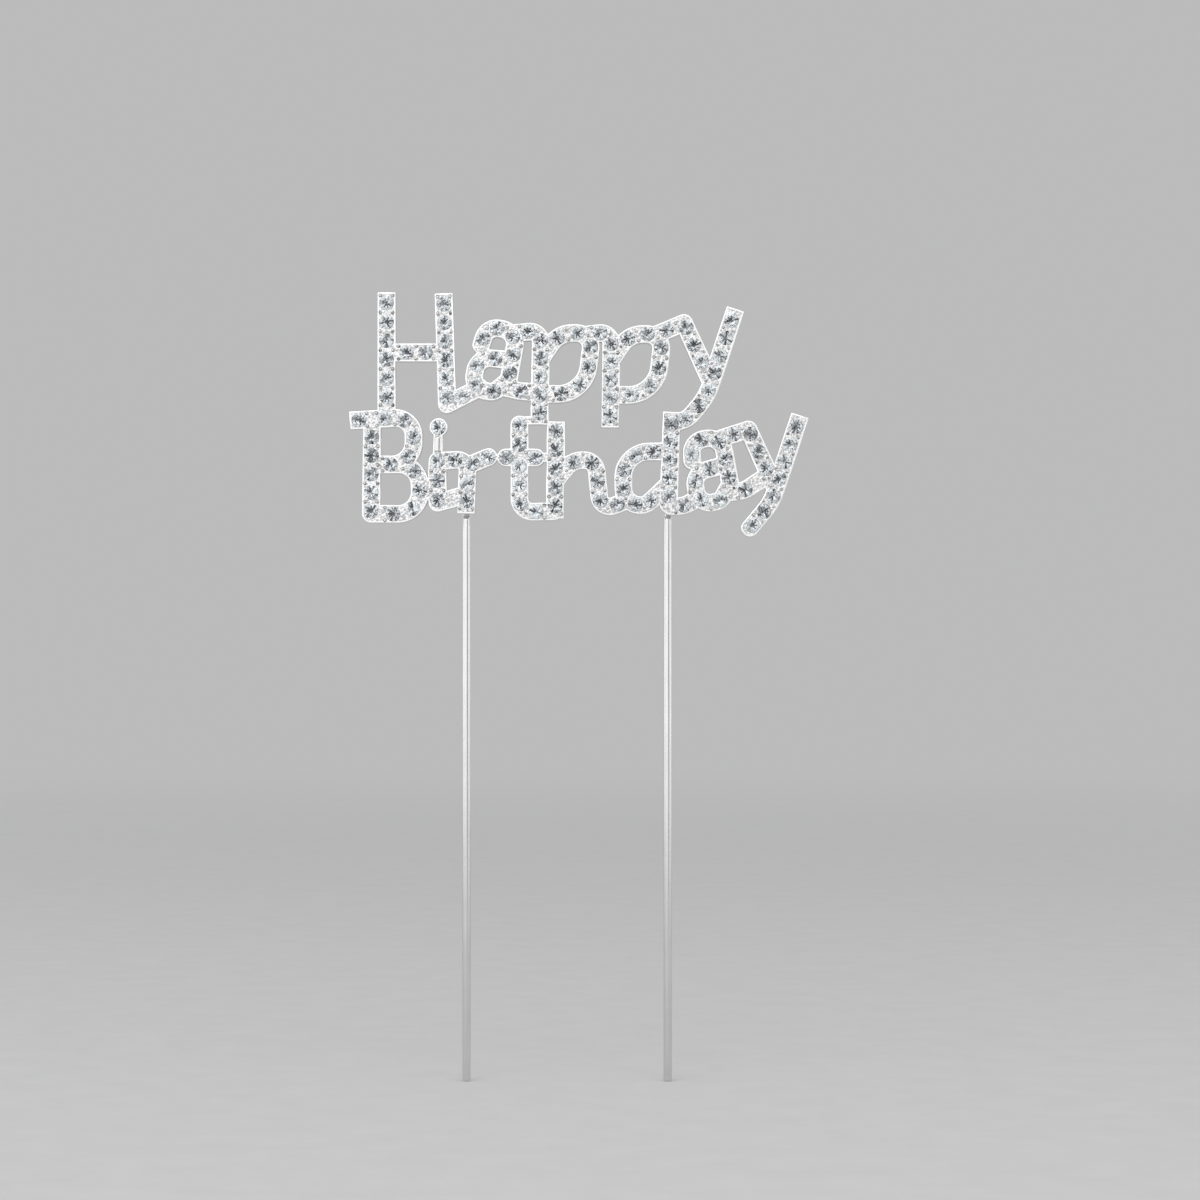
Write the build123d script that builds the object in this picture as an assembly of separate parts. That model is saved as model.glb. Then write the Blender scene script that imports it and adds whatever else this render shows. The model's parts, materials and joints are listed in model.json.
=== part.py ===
from build123d import *
import os
from math import cos, hypot, pi, radians, sin, tan
from typing import NamedTuple

# Cake topper: one cast letter frame set with clear stones, held up by two soldered wire stakes.
# Millimetres. X runs along the words, Z is up and the front faces -Y.
# The origin is midway between the tips of the two stakes.

# Stones: round chatons cut with eight sides
STONE_DIAMETER = 2.9
TABLE_DIAMETER = 1.7
CROWN_HEIGHT = 0.5
PAVILION_DEPTH = 1.2
STONE_SIDES = 8
STONE_GAP = 0.1  # least room between two stones

# Letter frame
LETTER_UNIT = 1.0  # one step of the grid that the letters are drawn on
RIM_WIDTH = 0.4  # metal beside a stone
FRAME_THICKNESS = 2.2
SEAT_CLEARANCE = 0.05
GIRDLE_SINK = 0.1  # how far a stone's widest line lies under the front face
INNER_CORNER = 0.3  # least radius on the inside of a turn
ROUND_OVERLAP = 0.2  # how far two round stroke ends that meet run into each other
NECK_WIDTH = 2.0  # stalk under the dot
BRIDGE_WIDTH = 1.8  # bar that ties the two words together
LETTER_LEAN = 10.3  # degrees that the first of two like letters leans right, and the second left

# The letters' places in grid steps: from stem to stem, and the height of the upper word's line
B_TO_I = 13.2
I_TO_R = 5.7
R_TO_T = 10.7
T_TO_SMALL_H = 7.2
SMALL_H_TO_D = 22.5
D_TO_A = 8.6
A_TO_Y = 13.1
UPPER_LINE = 23.6
B_TO_H = 3.0  # from the lower word's capital to the upper word's
H_TO_A = 20.7
A_TO_P = 10.2
P_TO_P = 14.1
P_TO_Y = 20.1

# Bead claws, in pairs between the stones
CLAW_WIDTH = 0.8
CLAW_HEIGHT = 0.5
CLAW_EDGE = 0.15  # metal outside a claw
CLAW_REACH = 1.6  # from the last stone of a row to the claws beyond it
CLAW_ROOT = 0.2  # depth of a claw in the frame

# Wire stakes with a flattened tang at the top
STAKE_DIAMETER = 1.7
STAKE_FREE_LENGTH = 113.8
TIP_CHAMFER = 0.25
TANG_THICKNESS = 1.0
TANG_LENGTH = 9.0  # behind the letter
TANG_DROP = 0.2  # how far the flat of the tang runs on below the letter
TAPER_LENGTH = 0.9  # from round wire to flat tang

# Solder over each tang
SOLDER_SIDE = 0.5
SOLDER_COVER = 0.35
SOLDER_RUN = 0.8  # past the end of the tang
SOLDER_START = 0.6  # above the foot of the letter
SOLDER_SLOPE = 25  # degrees from upright

# What follows from them
STROKE_WIDTH = STONE_DIAMETER + 2 * RIM_WIDTH
TIGHT_TURN = (STROKE_WIDTH / 2 + INNER_CORNER) / LETTER_UNIT
BACK_Y = -TANG_THICKNESS / 2
FRONT_Y = BACK_Y - FRAME_THICKNESS
PAVILION_SLOPE = STONE_DIAMETER / 2 / PAVILION_DEPTH
SEAT_DEPTH = GIRDLE_SINK + PAVILION_DEPTH + SEAT_CLEARANCE
SEAT_RADIUS = SEAT_DEPTH * PAVILION_SLOPE
CLAW_OFFSET = STROKE_WIDTH / 2 - CLAW_EDGE - CLAW_WIDTH / 2
OVERCUT = 1.0  # how far a cutting shape runs past the face that it cuts

# Where the letters stand, in grid steps: x of the stem, and height above the foot that the stakes hold.
# The two stems that the stakes hold lie evenly to both sides of the origin.
D_X = (R_TO_T + T_TO_SMALL_H + SMALL_H_TO_D) / 2
R_X = -D_X
T_X = R_X + R_TO_T
SMALL_H_X = T_X + T_TO_SMALL_H
I_X = R_X - I_TO_R
B_X = I_X - B_TO_I
SECOND_A = (D_X + D_TO_A, 5.6)
SECOND_Y = (SECOND_A[0] + A_TO_Y, 2.3)
H_X = B_X + B_TO_H
FIRST_A = (H_X + H_TO_A, UPPER_LINE + 4.2)
FIRST_P = (FIRST_A[0] + A_TO_P, UPPER_LINE)
SECOND_P = (FIRST_P[0] + P_TO_P, UPPER_LINE - 0.2)
FIRST_Y = (SECOND_P[0] + P_TO_Y, UPPER_LINE)
BRIDGE_Z = UPPER_LINE - 4.9
R_ARM_X = R_X + 4.5
ROUND_TOUCH = (STROKE_WIDTH - ROUND_OVERLAP) / LETTER_UNIT


class Stroke(NamedTuple):
    """One pen stroke of a letter: its centre line, the cut of its ends and its rows of stones."""

    path: Wire
    flat_start: bool
    flat_end: bool
    rows: tuple
    width: float


class Spot(NamedTuple):
    """A place on the letters' face, with the direction of the stroke there."""

    x: float
    z: float
    along: Vector


def rounded(corners, radii):
    """Lines from corner to corner, with an arc at each corner as wide as the lines beside it allow."""
    edges = []
    start = corners[0]
    for before, corner, after, wish in zip(corners, corners[1:], corners[2:], radii):
        come = (corner - before).normalized()
        go = (after - corner).normalized()
        half = radians(come.get_angle(go)) / 2
        room = 0.98 * min((corner - start).length, (after - corner).length)
        radius = min(wish, room / tan(half))
        first = corner - come * radius * tan(half)
        middle = corner + (go - come).normalized() * radius * (1 / cos(half) - 1)
        last = corner + go * radius * tan(half)
        edges += [Edge.make_line(start, first), Edge.make_three_point_arc(first, middle, last)]
        start = last
    return Wire(edges + [Edge.make_line(start, corners[-1])])


def stroke(points, radii=(), flat_start=False, flat_end=False, rows=(), width=STROKE_WIDTH):
    """A stroke through grid points, rounded at its corners.

    A row is (first stone, last stone, count), its distances from the start, or from the end if below 0.
    """
    corners = [Vector(x, z) * LETTER_UNIT for x, z in points]
    path = rounded(corners, [max(r, TIGHT_TURN) * LETTER_UNIT for r in radii])
    return Stroke(path, flat_start, flat_end, tuple(rows), width)


def placed(points, origin, lean=0.0):
    """Grid points of a letter, turned clockwise by its lean and moved to its place."""
    turn = radians(lean)
    across = [x * cos(turn) + z * sin(turn) for x, z in points]
    up = [z * cos(turn) - x * sin(turn) for x, z in points]
    return [(origin[0] + u, origin[1] + v) for u, v in zip(across, up)]


def cap_h():
    """Two tall legs, a crossbar and a tail that runs into the next letter."""
    origin = (H_X, UPPER_LINE)
    left = placed([(0, 20.8)], origin) + [(H_X, 19.8)]
    right = placed([(11.4, 20.6), (12.1, -1.7)], origin)
    tail = [right[1], (FIRST_A[0] - 2.0, FIRST_A[1] - 2.5)]
    bar = placed([(0, 8.7), (11.7, 8.7)], origin)
    return [
        stroke(left, flat_start=True, rows=[(2.2, -3.6, 6)]),
        stroke(right, flat_start=True, rows=[(2.2, 20.9, 6)]),
        stroke(tail, rows=[(3.6, 3.6, 1)]),
        stroke(bar, rows=[(4.0, 7.8, 2)]),
    ]


def letter_a(origin, lean, tail_end):
    """A hook over a round bowl, with a tail to the next letter."""
    hook = placed([(-2.8, 5.6), (-2.3, 9.5), (3.85, 9.5), (3.85, -2.0)], origin, lean)
    bowl = placed([(3.45, 3.65), (-3.1, 3.1), (-3.1, -3.3), (1.4, -3.3), (3.5, -0.7)], origin, lean)
    tail = placed([(3.85, -2.0), (6.4, -2.1)], origin, lean) + [tail_end]
    return [
        stroke(hook, (2.8, 3.2), rows=[(1.4, 16.2, 5)]),
        stroke(bowl, (3.0, 2.8, 2.2), rows=[(3.05, 15.2, 4)]),
        stroke(tail, (4.2,), rows=[(2.8, 2.8, 1)]),
    ]


def letter_p(origin, entry_start, stem_end):
    """A short entry stroke into a stem that runs below the line, and a tall bowl."""
    stem = [entry_start] + placed([(0, 13.1), (-0.3, stem_end)], origin)
    bowl = placed([(0, 7.4), (3.6, 12.6), (10.3, 12.6), (8.9, 0.4), (0, 0.4)], origin)
    return [
        stroke(stem, (TIGHT_TURN,), flat_end=True, rows=[(2.6, 2.6, 1), (6.0, -2.4, 5)]),
        stroke(bowl, (5.0, 2.9, 6.2), rows=[(5.4, 26.1, 6)]),
    ]


def letter_y(origin, entry_start, tail, tail_turns, last_stone):
    """A short arm that meets a long slanted stroke with a tail to the left."""
    arm = placed([(-5.6, 14.6), (-0.5, 3.4)], origin)
    main = placed([(4.7, 17.5), (-1.0, 0.0)], origin) + tail
    return [
        stroke(main, tail_turns, flat_start=True, rows=[(2.5, last_stone, 7)]),
        stroke([entry_start, arm[0]], rows=[(2.5, 2.5, 1)]),
        stroke(arm, rows=[(1.0, 8.6, 3)]),
    ]


def cap_b():
    """A stem with a flag at the top and two bowls."""
    origin = (B_X, 0.0)
    upper = placed([(-4.4, 18.7), (B_TO_I - 4.8, 19.4), (B_TO_I - 4.8, 9.9), (0.3, 9.9)], origin)
    stem = placed([(0.1, 18.9), (-0.1, 0)], origin)
    lower = placed([(-0.1, 0), (B_TO_I - 3.5, 0), (B_TO_I - 3.6, 9.9), (0.3, 9.9)], origin)
    return [
        stroke(upper, (3.6, 4.4), flat_start=True, rows=[(1.9, 1.9, 1), (7.0, -3.5, 5)]),
        stroke(stem, rows=[(3.5, 18.3, 5)]),
        stroke(lower, (4.4, 4.2), rows=[(4.4, -8.6, 4)]),
    ]


def letter_i():
    """A dot on a stalk, and a stem with a foot that runs into the next letter."""
    origin = (I_X, 0.0)
    dot = placed([(0.2, 17.3), (0.2, 17.4)], origin)
    neck = placed([(0.2, 17.3), (0, 10.6)], origin)
    stem = placed([(0, 10.6), (0, 2.2)], origin)
    return [
        stroke(dot, rows=[(0, 0, 1)]),
        stroke(neck, width=NECK_WIDTH),
        stroke(stem, rows=[(0, 7.8, 3)]),
        stroke([stem[1], (R_X, 3.9)]),
    ]


def letter_r():
    """An entry stroke into a straight stem, which a stake holds, and a short arm."""
    origin = (R_X, 0.0)
    stem = [(I_X + 0.4, 10.6)] + placed([(0.4, 11.0), (0, 0)], origin)
    arm = placed([(0.4, 9.7)], origin) + [(R_ARM_X, 11.4)]
    return [
        stroke(stem, (TIGHT_TURN,), flat_end=True, rows=[(3.1, 3.1, 1), (9.6, 12.9, 2)]),
        stroke(arm, rows=[(1.0, 4.3, 2)]),
    ]


def letter_t():
    """A tall stem that turns at its foot, and a crossbar with a neck to the next letter."""
    origin = (T_X, 0.0)
    stem = placed([(0, 17.9), (0, 0.4)], origin) + [(SMALL_H_X - 0.4, 0.5)]
    bar = [(R_ARM_X + ROUND_TOUCH, 11.3), (T_X + 3.3, 11.3)]
    return [
        stroke(stem, (2.6,), rows=[(0.1, 4.0, 2), (8.3, 19.7, 4)]),
        stroke(bar, rows=[(0, 0, 1), (-0.1, -0.1, 1)]),
        stroke([bar[1], (SMALL_H_X, 11.3)], width=NECK_WIDTH),
    ]


def small_h():
    """A tall stem and an arch that runs into the next letter."""
    origin = (SMALL_H_X, 0.0)
    stem = placed([(0.1, 18.6), (-0.1, -1.0)], origin)
    arch = placed([(0.3, 6.95), (3.4, 10.75), (8.0, 10.75), (9.05, 0.6)], origin) + [(D_X - 8.6, 2.5)]
    return [
        stroke(stem, flat_start=True, flat_end=True, rows=[(2.0, 17.0, 5)]),
        stroke(arch, (4.0, 2.5, TIGHT_TURN), rows=[(4.75, -1.6, 5)]),
    ]


def letter_d():
    """A round bowl beside a tall stem, which a stake holds, and a tail to the next letter."""
    origin = (D_X, 0.0)
    stem = placed([(0.8, 20.5), (0.1, 1.9)], origin)
    bowl = placed([(0.2, 12.5), (-9.0, 12.5), (-8.9, 1.75), (-4.4, 1.75), (0, 5.9)], origin)
    tail = placed([(0.5, 1.6), (3.1, 1.5)], origin) + [(SECOND_A[0] - 3.6, SECOND_A[1] - 3.0)]
    return [
        stroke(stem, flat_start=True, rows=[(2.5, 16.9, 5)]),
        stroke(bowl, (5.2, 3.4, 2.6), rows=[(3.0, 14.4, 4), (18.6, 22.0, 2)]),
        stroke(tail, (5.0,), rows=[(2.7, 2.7, 1)]),
    ]


def bridge():
    """The bar from a tall stem of the lower word to the foot of a stem of the upper word."""
    return stroke([(T_X, BRIDGE_Z), (FIRST_P[0], BRIDGE_Z)], width=BRIDGE_WIDTH)


FIRST_Y_TAIL = [(D_X + 4.0, UPPER_LINE - 4.6), (D_X + 0.9, UPPER_LINE - 5.4)]
SECOND_Y_TAIL = [(SECOND_Y[0] - 5.3, SECOND_Y[1] - 5.1)]
LETTERS = {
    "cap_h": cap_h(),
    "first_a": letter_a(FIRST_A, LETTER_LEAN, (FIRST_P[0], FIRST_P[1] + 0.7)),
    "first_p": letter_p(FIRST_P, (FIRST_A[0] + 5.0, FIRST_A[1] + 8.4), -5.8),
    "second_p": letter_p(SECOND_P, (FIRST_P[0] + 9.3, FIRST_P[1] + 12.3), -6.2),
    "first_y": letter_y(FIRST_Y, (SECOND_P[0] + 8.7, SECOND_P[1] + 12.4), FIRST_Y_TAIL, (12.0, 4.0), -2.8),
    "cap_b": cap_b(),
    "letter_i": letter_i(),
    "letter_r": letter_r(),
    "letter_t": letter_t(),
    "small_h": small_h(),
    "letter_d": letter_d(),
    "second_a": letter_a(SECOND_A, -LETTER_LEAN, (SECOND_Y[0] - 2.5, SECOND_Y[1] + 4.9)),
    "second_y": letter_y(SECOND_Y, (SECOND_A[0] + 2.2, SECOND_A[1] + 9.6), SECOND_Y_TAIL, (12.0,), -0.7),
}


def end_cut(path, at_start, width):
    """A square that takes the round end off a stroke."""
    here = path @ (0 if at_start else 1)
    along = path % (0 if at_start else 1)
    out = -along if at_start else along
    plane = Plane(here + out * width, x_dir=out)
    return plane * Rectangle(2 * width, 2 * width)


def band(one):
    """The flat shape of a stroke: its centre line widened to both sides."""
    face = Face(one.path.offset_2d(one.width / 2))
    shape = Sketch() + (face if face.normal_at().Z > 0 else -face)
    if one.flat_start:
        shape -= end_cut(one.path, True, one.width)
    if one.flat_end:
        shape -= end_cut(one.path, False, one.width)
    return shape


def on_path(one, distance):
    """The spot at a distance along a stroke."""
    where = one.path.position_at(distance, PositionMode.LENGTH)
    along = one.path.tangent_at(distance, PositionMode.LENGTH)
    return Spot(where.X, where.Y, along)


def row_distances(one, row):
    """Even steps along a stroke from the first stone of a row to its last."""
    *ends, count = row
    first, last = (d * LETTER_UNIT + (one.path.length if d < 0 else 0) for d in ends)
    step = (last - first) / max(count - 1, 1)
    return [first + step * k for k in range(count)]


def apart(spot, others, room):
    """Whether a spot is at least this far from all the others."""
    return all(hypot(spot.x - o.x, spot.z - o.z) >= room for o in others)


def lay_stones():
    """The stones of each letter, leaving out any that would run into one already set."""
    taken = []
    by_letter = {}
    for name, strokes in LETTERS.items():
        spots = []
        for one in strokes:
            for row in one.rows:
                for distance in row_distances(one, row):
                    spot = on_path(one, distance)
                    if apart(spot, taken, STONE_DIAMETER + STONE_GAP):
                        taken.append(spot)
                        spots.append(spot)
        by_letter[name] = spots
    return by_letter


def claw_pairs(one, row):
    """Claw spots to both sides of a row: between the stones and just beyond its ends."""
    stones = row_distances(one, row)
    between = [(a + b) / 2 for a, b in zip(stones, stones[1:])]
    length = one.path.length
    beyond = [d for d in (stones[0] - CLAW_REACH, stones[-1] + CLAW_REACH) if 0 < d < length]
    for distance in between + beyond:
        middle = on_path(one, distance)
        side = Vector(-middle.along.Y, middle.along.X) * CLAW_OFFSET
        yield Spot(middle.x + side.X, middle.z + side.Y, middle.along)
        yield Spot(middle.x - side.X, middle.z - side.Y, middle.along)


def lay_claws(face, stones):
    """Every claw whose whole foot is on metal, clear of the seats and of the other claws."""
    claws = []
    half = CLAW_WIDTH / 2 + CLAW_EDGE / 2
    for strokes in LETTERS.values():
        for one in strokes:
            for row in one.rows:
                for spot in claw_pairs(one, row):
                    feet = [(spot.x + i * half, spot.z + j * half) for i in (-1, 1) for j in (-1, 1)]
                    on_metal = all(face.is_inside(Vector(x, z, 0)) for x, z in feet)
                    clear = apart(spot, stones, SEAT_RADIUS + CLAW_WIDTH / 2)
                    if on_metal and clear and apart(spot, claws, CLAW_WIDTH * 1.5):
                        claws.append(spot)
    return claws


def ring(radius, height, sides=STONE_SIDES):
    """The corners of a level polygon with flats to its sides."""
    turns = [2 * pi * (k + 0.5) / sides for k in range(sides)]
    return [(radius * cos(t), radius * sin(t), height) for t in turns]


def front_location(spot, y):
    """A place on the front of the frame: local x along the stroke, local z out of the face."""
    place = (spot.x, y, STAKE_FREE_LENGTH + spot.z)
    return Location(Plane(place, (spot.along.X, 0, spot.along.Y), (0, -1, 0)))


def stone():
    """A cut stone with its widest line at height 0 and its table towards +Z."""
    table = ring(TABLE_DIAMETER / 2, CROWN_HEIGHT)
    girdle = ring(STONE_DIAMETER / 2, 0)
    return ConvexPolyhedron(table + girdle + [(0, 0, -PAVILION_DEPTH)])


def seat():
    """The tapered hole for a stone, its mouth above the front face."""
    over = OVERCUT
    mouth = ring(SEAT_RADIUS + over * PAVILION_SLOPE, over)
    return ConvexPolyhedron(mouth + [(0, 0, -SEAT_DEPTH)])


def claw():
    """A four-sided bead with its root in the frame."""
    root = ring(CLAW_WIDTH / 2 / cos(pi / 4), -CLAW_ROOT, 4)
    foot = ring(CLAW_WIDTH / 2 / cos(pi / 4), 0, 4)
    return ConvexPolyhedron(root + foot + [(0, 0, CLAW_HEIGHT)])


def letter_frame(stones):
    """The casting: all strokes joined in one plate, with a seat for each stone and claws between."""
    bands = [band(one) for strokes in LETTERS.values() for one in strokes]
    outline = bands[0] + bands[1:] + [band(bridge())]
    upright = Plane((0, BACK_Y, STAKE_FREE_LENGTH), (1, 0, 0), (0, -1, 0))
    plate = extrude(upright * outline, FRAME_THICKNESS)
    claws = lay_claws(outline.face(), stones)
    plate = plate - [seat().moved(front_location(spot, FRONT_Y)) for spot in stones]
    return plate + [claw().moved(front_location(spot, FRONT_Y)) for spot in claws]


def stake(x):
    """A wire with a chamfered tip, flattened at the top into a tang behind the letter."""
    flat_bottom = STAKE_FREE_LENGTH - TANG_DROP
    round_top = flat_bottom - TAPER_LENGTH
    wire = Circle(STAKE_DIAMETER / 2)
    flat = Pos(0, 0, flat_bottom) * SlotOverall(STAKE_DIAMETER, TANG_THICKNESS)
    rod = extrude(wire, round_top)
    rod = chamfer(rod.edges().sort_by(Axis.Z)[0], TIP_CHAMFER)
    taper = loft([Pos(0, 0, round_top) * wire, flat])
    tang = extrude(flat, TANG_DROP + TANG_LENGTH)
    return Pos(x, 0, 0) * (rod + taper + tang)


def solder(x, tang):
    """A mound of solder on the back of the letter, over the tang and to both sides of it."""
    width = STAKE_DIAMETER + 2 * SOLDER_SIDE
    height = TANG_LENGTH + SOLDER_RUN - SOLDER_START
    base = Plane((x, BACK_Y, STAKE_FREE_LENGTH + SOLDER_START + height / 2), (1, 0, 0), (0, 1, 0))
    pad = base * RectangleRounded(width, height, width / 2.5)
    return extrude(pad, TANG_THICKNESS + SOLDER_COVER, taper=SOLDER_SLOPE) - tang


os.makedirs("parts", exist_ok=True)
stones_by_letter = lay_stones()
all_stones = [spot for spots in stones_by_letter.values() for spot in spots]

export_step(letter_frame(all_stones), "parts/letter_frame.step")

cut = stone()
for letter, spots in stones_by_letter.items():
    group = [cut.moved(front_location(spot, FRONT_Y + GIRDLE_SINK)) for spot in spots]
    export_step(Compound(group), f"parts/{letter}_stones.step")

for side, letter_x in (("left", R_X), ("right", D_X)):
    one_stake = stake(letter_x * LETTER_UNIT)
    export_step(one_stake, f"parts/{side}_stake.step")
    export_step(solder(letter_x * LETTER_UNIT, one_stake), f"parts/{side}_solder.step")
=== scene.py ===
import json
from collections import Counter
from math import cos, pi, radians, sin
from random import Random

import bmesh
import bpy
import numpy as np
from mathutils import Euler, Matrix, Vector
from mathutils.geometry import delaunay_2d_cdt

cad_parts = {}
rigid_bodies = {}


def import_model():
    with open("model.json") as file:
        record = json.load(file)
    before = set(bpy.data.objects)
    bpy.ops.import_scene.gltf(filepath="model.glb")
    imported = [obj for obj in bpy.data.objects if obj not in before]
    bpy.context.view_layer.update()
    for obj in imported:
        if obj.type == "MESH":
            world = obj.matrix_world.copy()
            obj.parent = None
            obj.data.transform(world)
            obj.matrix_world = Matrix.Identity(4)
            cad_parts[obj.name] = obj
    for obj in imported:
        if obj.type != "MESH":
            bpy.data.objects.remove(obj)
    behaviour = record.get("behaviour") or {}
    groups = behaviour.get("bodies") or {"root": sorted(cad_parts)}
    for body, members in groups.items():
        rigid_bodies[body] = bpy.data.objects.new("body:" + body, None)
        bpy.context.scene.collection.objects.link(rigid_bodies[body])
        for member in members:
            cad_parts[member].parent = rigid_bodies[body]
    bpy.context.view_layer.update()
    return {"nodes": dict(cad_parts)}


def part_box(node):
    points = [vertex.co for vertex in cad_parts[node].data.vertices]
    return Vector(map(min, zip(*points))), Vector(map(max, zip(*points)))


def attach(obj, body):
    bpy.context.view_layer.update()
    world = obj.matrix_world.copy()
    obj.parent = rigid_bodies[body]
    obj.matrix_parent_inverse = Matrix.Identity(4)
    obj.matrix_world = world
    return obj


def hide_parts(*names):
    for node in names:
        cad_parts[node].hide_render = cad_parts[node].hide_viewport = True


# Looks of the cake topper, in metres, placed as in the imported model: X along the words, Z up, front to -Y

for leftover in list(bpy.data.objects):
    bpy.data.objects.remove(leftover)
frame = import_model()
MM = 0.001

# How near points have to be to count as one
LEVEL_GAP = 1e-6  # in depth
STONE_LEVEL_GAP = 1e-5  # in depth, between the levels of a stone
WELD_GAP = 1e-7
FILL_GAP = 1e-9
PLACE_DIGITS = 6  # decimals of a metre
CORNER_DIGITS = 7

# The casting
EDGE_ROUND = 0.22 * MM  # radius along the front edge
BACK_ROUND = 0.12 * MM  # radius along the back edge
ROUND_STEPS = 4  # flats in a rounded edge
MITRE_LIMIT = 1.5  # how far a corner may move in, in depths of the inset
LEAST_STEP = 0.1 * MM  # shorter sides of the outline are dropped
RIM_WIDTH = 0.34 * MM  # smooth border along the outline
GROUND_DROP = 0.12 * MM  # the ground between the stones lies this far behind the border
GROUND_STEP = 0.04 * MM  # slope from the border to the ground
GROUND_PAINTED_SHADE = 0.7  # painted shade on the ground between the stones: share of the plating's own lightness
GIRDLE_SINK = 0.1 * MM  # the widest line of a stone lies this far behind the face
SEAT_MOUTH = 1.46 * MM  # radius of a stone's seat
SEAT_MARGIN = 0.02 * MM  # least ground between a seat and the border
SEAT_LIP = 0.04 * MM  # depth of the lip at the mouth
LIP_BEVEL = 0.3  # the lip's bevel, as a share of its depth
LIP_WIDTH = 0.4  # how far the lip comes in, as a share of its depth
SEAT_FLOOR = 0.12  # radius of the seat's floor, as a share of the mouth
SEAT_SIDES = 24

# Bead claws
BEAD_SEED = 4
BEAD_RADIUS = 0.4 * MM
SMALL_BEAD = 0.3 * MM  # radius of the claws that only the looks have
BEAD_SIZES = (0.9, 1.0)  # random share of the radius
BEAD_PAINTED_SHADE = (0.45, 0.72)  # painted shade on the claws: random share of the plating's own lightness
BEAD_ROOT = 0.15 * MM  # how deep a claw starts under the ground
BEAD_SIDES = 10
BEAD_TURNS = (0.0, 0.3, 0.6, 0.9, 1.2)  # angles of its rings, up from the ground
BEAD_HEIGHT = 0.96  # share of the height in the CAD model
BEAD_PULL = 0.06  # share of the way to the stones beside it
STONE_REACH = 4.7 * MM  # stones nearer than this are neighbours
CLAW_SPREAD = 1.15 * MM  # from the middle between two neighbours to a small claw
CLAW_GAP = 0.35 * MM  # least metal between two claws
CLAW_TESTS = 8  # points round a small claw that have to be on metal

# The rounded neck under the dot of the i
NECK_HALF = 0.86 * MM  # half of its width
NECK_RISE = 0.34 * MM  # how far it stands out of the face
NECK_SINK = 0.1 * MM  # its sides start this far under the face
NECK_REACH = 1.75 * MM  # from the middle of a stone to the end of the neck
NECK_END = 0.3 * MM  # length of its rounded ends
NECK_ACROSS = 16
NECK_ALONG = 24
NECK_SLOT = 1  # its material's place in the casting's list

# Stones: shares are of a stone's radius, and tones of the foil's lightness; the dark, pale ray and middle
# tones are painted shade
FOLD = 8  # sides of the table
TABLE_SHARE = 0.586
STAR_SHARE = 0.8
RAY_SHARES = (0.66, 0.34)  # tips and notches of the star in the underside
GIRDLE_HALF = 0.04 * MM
STONE_TILT = 2.5  # degrees, at most
# Painted shade on the foil: the dark star in the middle of a stone's underside, its paler rays and the
# middle facets round it
STAR_PAINTED_SHADE = (0.02, 0.2)
MIDDLE_PAINTED_SHADE = (0.1, 0.5)
LIGHT_TONE = (0.8, 1.0)
PAINTED_DARK_RAYS = (2, 4)  # of the eight rays of the star
PALE_RAY_PAINTED_SHADE = (0.5, 0.95)
PAINTED_SHADE_CHANCE = 0.16  # that a facet round the star gets a painted middle shade
GLASS_SLOT = 0  # places in the stones' list of materials
FOIL_SLOT = 1

# Stakes
FOOT_Z = 113.8 * MM  # foot of the letters that the stakes hold
TANG_DROP = 0.2 * MM  # the wire is flat from this far below the foot
TAPER_LENGTH = 0.9 * MM  # from round to flat
TIP_ROUND = 0.25 * MM
TANG_END_ROUND = 0.3 * MM
WIRE_SIDES = 48
WIRE_STEPS = 24
TAPER_STEPS = 8
SHARP_ANGLE = 40  # degrees

# Solder: each profile is a pair of powers, how full it is and how it falls to its end
SOLDER_ACROSS = 28
SOLDER_ALONG = 72
PLAN_PROFILE = (5, 0.5)
CROSS_PROFILE = (2.6, 0.55)
LONG_PROFILE = (6, 0.6)
SOLDER_WIDTH = 0.9  # share of the CAD width, before the waves
SOLDER_HEIGHT = 0.93  # share of the CAD height, before the waves
WAVES = 5  # random ones that add up
WAVE_RATE = (2, 9)  # radians from the middle to an end
WAVE_SIZE = (0.02, 0.05)
RIM_WAVE = 0.8  # weight of the waves in the rim
FACE_WAVE = 0.5  # weight of the waves in the face
FACE_RATE = 2.3  # waves of the face to one of the rim
FACE_SLANT = 3  # radians from the middle to a side

# Colours, the darker and the lighter one of each
POLISHED = ((0.93, 0.935, 0.935), (0.98, 0.98, 0.97))
AS_CAST = ((0.60, 0.605, 0.61), (0.76, 0.76, 0.755))
BRIGHT_BAR = ((0.71, 0.715, 0.71), (0.77, 0.77, 0.76))
TIN = ((0.52, 0.53, 0.54), (0.74, 0.745, 0.75))
# The foil's darker colour is painted shade, for its darkest facets
FOIL_AND_PAINTED_SHADE = ((0.0, 0.0, 0.01), (0.965, 0.985, 0.995))
PAPER = ((0.68, 0.68, 0.68), (0.71, 0.71, 0.71))
CLEAR_GLASS = (0.97, 0.99, 1.0, 1)
GLASS_INDEX = 1.54
PALE_WORLD = (0.5, 0.5, 0.505, 1)  # behind the object

# Floor
FLOOR_RINGS = (0.15, 0.3, 0.6, 1.0, 1.6, 2.4)
FLOOR_SIDES = 64
FLOOR_FADE = (0.2, 1.3)  # from solid to nothing, away from the middle

# Camera: square view of the front, as wide as the photograph shows at the letters' face
VIEW_WIDTH = 240 * MM
VIEW_CENTRE = (6.6 * MM, 96.6 * MM)
LENS = 100
SENSOR = 36
CLIP = (0.01, 20)


def node_points(name):
    """The corners of a CAD node."""
    return np.array([v.co for v in frame["nodes"][name].data.vertices])


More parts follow.
